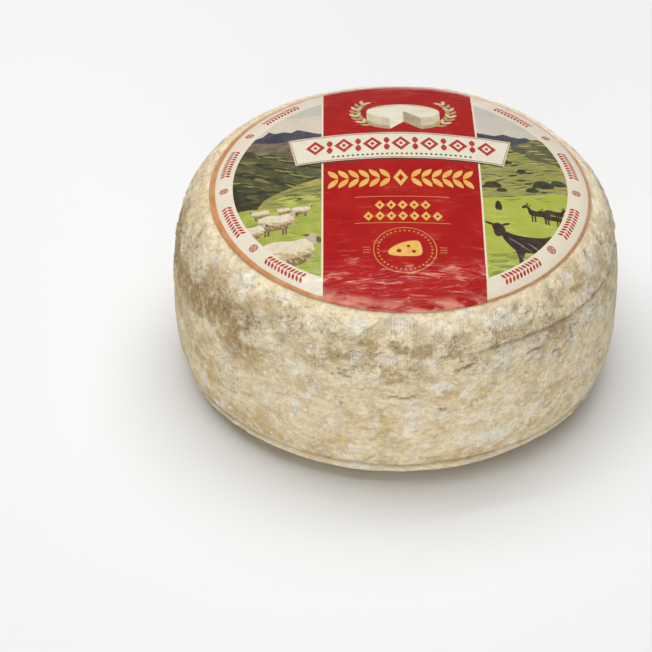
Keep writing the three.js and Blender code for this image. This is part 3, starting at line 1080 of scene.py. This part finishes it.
INKS = {
    # name: (colour, second colour, size of the mottling in mm)
    "cream": ((0.70, 0.64, 0.50), (0.74, 0.67, 0.54), 12),
    "ribbon": ((0.68, 0.64, 0.50), (0.73, 0.68, 0.55), 10),
    "rim": ((0.56, 0.23, 0.08), (0.62, 0.31, 0.15), 6),
    "crimson": ((0.38, 0.025, 0.025), (0.45, 0.05, 0.04), 3),
    "rosette": ((0.38, 0.13, 0.10), (0.45, 0.20, 0.15), 2),
    "blush": ((0.55, 0.36, 0.28), (0.62, 0.44, 0.35), 2),
    "red": ((0.34, 0.008, 0.008), (0.39, 0.013, 0.010), 14),
    "gold": ((0.68, 0.38, 0.08), (0.72, 0.46, 0.13), 5),
    "gold line": ((0.52, 0.22, 0.06), (0.56, 0.28, 0.08), 5),
    "ink": ((0.05, 0.07, 0.06), (0.12, 0.14, 0.12), 2),
    "linen": ((0.60, 0.54, 0.40), (0.52, 0.45, 0.30), 5),
    "linen shade": ((0.34, 0.27, 0.16), (0.42, 0.34, 0.21), 4),
    "bisque": ((0.74, 0.70, 0.56), (0.68, 0.62, 0.47), 6),
    "sky": ((0.47, 0.47, 0.42), (0.56, 0.51, 0.43), 14),
    "cloud": ((0.58, 0.53, 0.43), (0.52, 0.49, 0.42), 10),
    "evening": ((0.64, 0.56, 0.44), (0.57, 0.52, 0.43), 10),
    "mountain": ((0.045, 0.05, 0.075), (0.09, 0.08, 0.09), 6),
    "bluff": ((0.13, 0.09, 0.07), (0.20, 0.16, 0.10), 4),
    "wood": ((0.07, 0.07, 0.03), (0.12, 0.11, 0.05), 4),
    "wood light": ((0.16, 0.16, 0.06), (0.22, 0.20, 0.08), 3),
    "wood dark": ((0.035, 0.035, 0.022), (0.065, 0.06, 0.03), 3),
    "slope light": ((0.24, 0.24, 0.07), (0.32, 0.29, 0.08), 4),
    "straw": ((0.40, 0.34, 0.10), (0.34, 0.29, 0.09), 3),
    "meadow left": ((0.30, 0.34, 0.06), (0.38, 0.40, 0.08), 5),
    "grass dark": ((0.20, 0.25, 0.045), (0.25, 0.29, 0.06), 3),
    "grass pale": ((0.40, 0.43, 0.09), (0.44, 0.46, 0.12), 3),
    "hill": ((0.24, 0.24, 0.07), (0.32, 0.30, 0.08), 5),
    "hill dark": ((0.08, 0.09, 0.05), (0.12, 0.12, 0.06), 4),
    "meadow right": ((0.35, 0.39, 0.05), (0.39, 0.42, 0.08), 6),
    "wool": ((0.70, 0.63, 0.47), (0.62, 0.52, 0.36), 2.5),
    "wool dim": ((0.42, 0.31, 0.16), (0.52, 0.41, 0.25), 2),
    "wool shade": ((0.18, 0.12, 0.05), (0.26, 0.19, 0.09), 2),
    "sheep face": ((0.42, 0.35, 0.25), (0.50, 0.43, 0.32), 2),
    "sheep dark": ((0.10, 0.08, 0.05), (0.16, 0.13, 0.09), 2),
    "goat": ((0.040, 0.026, 0.020), (0.065, 0.042, 0.032), 3),
    "goat sheen": ((0.20, 0.17, 0.16), (0.28, 0.25, 0.24), 2),
}


def ink_material(name):
    """Print under a thin clear film; the film's creases catch the light, and pale glints on the crease
    ridges and glare along the front edge are painted into its colour.
    """
    colour, second, size = INKS[name]
    # The pale colour of the painted glints and glare on the film
    glare_colour = (0.82, 0.36, 0.25) if name == "red" else tuple(0.38 + 0.5 * part for part in colour)
    material, tree, shader = new_material("printed " + name, Specular_IOR_Level=0.5)
    seed = float(len(name))
    tone = use(tree, SPOTS, Size=float(size), Cover=0.5, Edge=0.15, Seed=seed, Detail=3.0, Squash=1.0)
    print_colour = blend(tree, tone["Mask"], colour, second)
    film = use(tree, FILM, Crease=painted(tree, "crease"))
    painted_glare = maths(tree, "MAXIMUM", times(tree, film["Painted glint"], 0.52), painted(tree, "painted edge glare"))
    connect(tree, shader.inputs["Base Color"], blend(tree, painted_glare, print_colour, glare_colour))
    connect(tree, shader.inputs["Roughness"], film["Roughness"])
    bump = add(tree, "ShaderNodeBump", Strength=0.5, Distance=0.0001, Height=film["Height"])
    connect(tree, shader.inputs["Normal"], bump.outputs[0])
    return material


def paper_back(flat, triangles):
    """Plan and faces of the label's plain underside, which closes the sheet along its cut edge."""
    sides = np.concatenate([triangles[:, pair] for pair in ([0, 1], [1, 2], [2, 0])])
    sides, uses = np.unique(np.sort(sides, axis=1), axis=0, return_counts=True)
    rim = np.unique(sides[uses == 1])
    rim = rim[np.argsort(np.arctan2(flat[rim, 1], flat[rim, 0]))]
    count = len(rim)
    shares = (1, 0.96, 0.9, 0.8, 0.65, 0.5, 0.35, 0.2, 0.08)
    plan = np.concatenate([flat[rim] * share for share in shares] + [[[0.0, 0.0]]])
    ring = np.arange(count)
    onward = np.roll(ring, -1)
    first = len(flat)
    faces = [np.column_stack([rim, first + ring, first + onward, np.roll(rim, -1)])]
    for level in range(len(shares) - 1):
        near = first + level * count
        far = near + count
        faces.append(np.column_stack([near + ring, far + ring, far + onward, near + onward]))
    faces = np.concatenate(faces).tolist()
    last = first + (len(shares) - 1) * count
    middle = first + len(plan) - 1
    faces += [[last + i, middle, last + (i + 1) % count] for i in range(count)]
    return plan, faces


def make_label():
    """The printed sheet, draped on the wheel, with the creases and the painted glare at its front edge that
    its inks read.
    """
    least_lift, most_glare = 0.2, 0.66
    flat, triangles, inks, ink_of = cut_sheet(label_artwork())
    from_middle = np.hypot(flat[:, 0], flat[:, 1])
    edge = smoothstep(LABEL_RADIUS - 4, LABEL_RADIUS, from_middle)
    lift = PAPER_LIFT + wrinkles(flat) * (1 - 0.5 * edge) - EDGE_PRESS * edge
    lift = np.maximum(lift, least_lift)
    plan, back_faces = paper_back(flat, triangles)
    points = np.concatenate([drape(flat, lift), drape(plan, np.full(len(plan), PAPER_UNDERSIDE))])
    faces = triangles.tolist() + back_faces
    piece = new_piece("label", points, faces, [ink_material(ink) for ink in inks])
    paper = inks.index("cream")
    piece.data.polygons.foreach_set("material_index", ink_of.tolist() + [paper] * len(back_faces))

    spread = np.column_stack([flat, np.zeros(len(flat))])
    crumpled = noise_at(spread, 5, seed=23, octaves=6, squash=(0.45, 1.3, 1))
    crumpled = smoothstep(-0.5, 0.4, crumpled + 0.3 * smoothstep(5, -25, flat[:, 0]))
    on_band = (flat[:, 0] > RED_LEFT) & (flat[:, 0] < RED_RIGHT)
    front_edge = smoothstep(LABEL_RADIUS - 5.5, LABEL_RADIUS - 1.2, from_middle)
    front_edge *= smoothstep(-60, -72, flat[:, 1])
    on_back = np.zeros(len(plan))
    # Crease also sets the strength of the painted glints on the film's ridges
    paint(piece, "crease", np.concatenate([0.18 + 0.82 * smoothstep(-46, -70, flat[:, 1]), on_back]))
    # A pale band of painted glare along the front edge of the red band, broken up by the crumpled noise
    paint(piece, "painted edge glare", np.concatenate([most_glare * front_edge * crumpled * on_band, on_back]))
    return piece


label = make_label()
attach(label, "root")
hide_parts("paper_label")


# ---- Stage, light and camera ----


def make_floor():
    """A wide pale floor, a hair under the wheel's base so that the two faces don't coincide."""
    pale, paler = (0.796, 0.80, 0.802), (0.806, 0.81, 0.812)
    material, tree, shader = new_material("pale floor", Specular_IOR_Level=0.2)
    tone = use(tree, SPOTS, Size=400.0, Cover=0.5, Edge=0.3, Seed=9.0, Detail=1.0, Squash=1.0)["Mask"]
    connect(tree, shader.inputs["Base Color"], blend(tree, tone, pale, paler))
    connect(tree, shader.inputs["Roughness"], ease(tree, tone, 0.0, 1.0, 0.66, 0.74))
    half = 4000
    corners = [(-half, -half, 0), (half, -half, 0), (half, half, 0), (-half, half, 0)]
    floor = new_piece("floor", corners, [(0, 1, 2, 3)], [material], False)
    floor.location.z = -0.0002


def aim(thing, place, target):
    """Puts a light at a place and turns it to a target."""
    thing.location = place
    thing.rotation_euler = (Vector(target) - Vector(place)).to_track_quat("-Z", "Y").to_euler()


def soft_light(name, place, target, width, height, watts):
    """A rectangular light, in metres and watts; returns its object."""
    lamp = bpy.data.lights.new(name, "AREA")
    lamp.shape = "RECTANGLE"
    lamp.size = width
    lamp.size_y = height
    lamp.energy = watts
    thing = bpy.data.objects.new(name, lamp)
    bpy.context.scene.collection.objects.link(thing)
    aim(thing, place, target)
    return thing


def light_stage():
    """A broad light overhead, two strip lights that streak the label's film, and a soft one in front."""
    middle = (0, 0, WHEEL_HEIGHT * MM / 2)
    ceiling = soft_light("overhead softbox", (-0.1, 0.36, 1.6), middle, 1.9, 1.5, 27.7)
    ceiling.visible_glossy = False
    soft_light("rear strip light", (-0.1, 0.30, 1.45), middle, 1.8, 0.04, 3.2)
    soft_light("front strip light", (-0.1, -0.50, 1.40), middle, 1.8, 0.04, 3.2)
    soft_light("front softbox", (-0.12, -2.2, 0.42), middle, 1.6, 0.84, 19.3)
    world = bpy.data.worlds.new("studio")
    world.use_nodes = True
    background = world.node_tree.nodes["Background"]
    background.inputs["Color"].default_value = (1, 1, 1, 1)
    background.inputs["Strength"].default_value = 0.12
    bpy.context.scene.world = world
    bpy.context.scene.view_settings.view_transform = "Standard"


def place_camera():
    """A long lens looks down at the wheel from the front, which stands a little right of the middle."""
    camera = bpy.data.cameras.new("camera")
    camera.sensor_width = 36
    camera.lens = 128.33
    camera.clip_end = 50
    thing = bpy.data.objects.new("camera", camera)
    bpy.context.scene.collection.objects.link(thing)
    thing.location = (-0.03114, -0.85058, 0.66435)
    thing.rotation_euler = (math.radians(90 - 37.49), 0, 0)
    bpy.context.scene.camera = thing


make_floor()
light_stage()
place_camera()
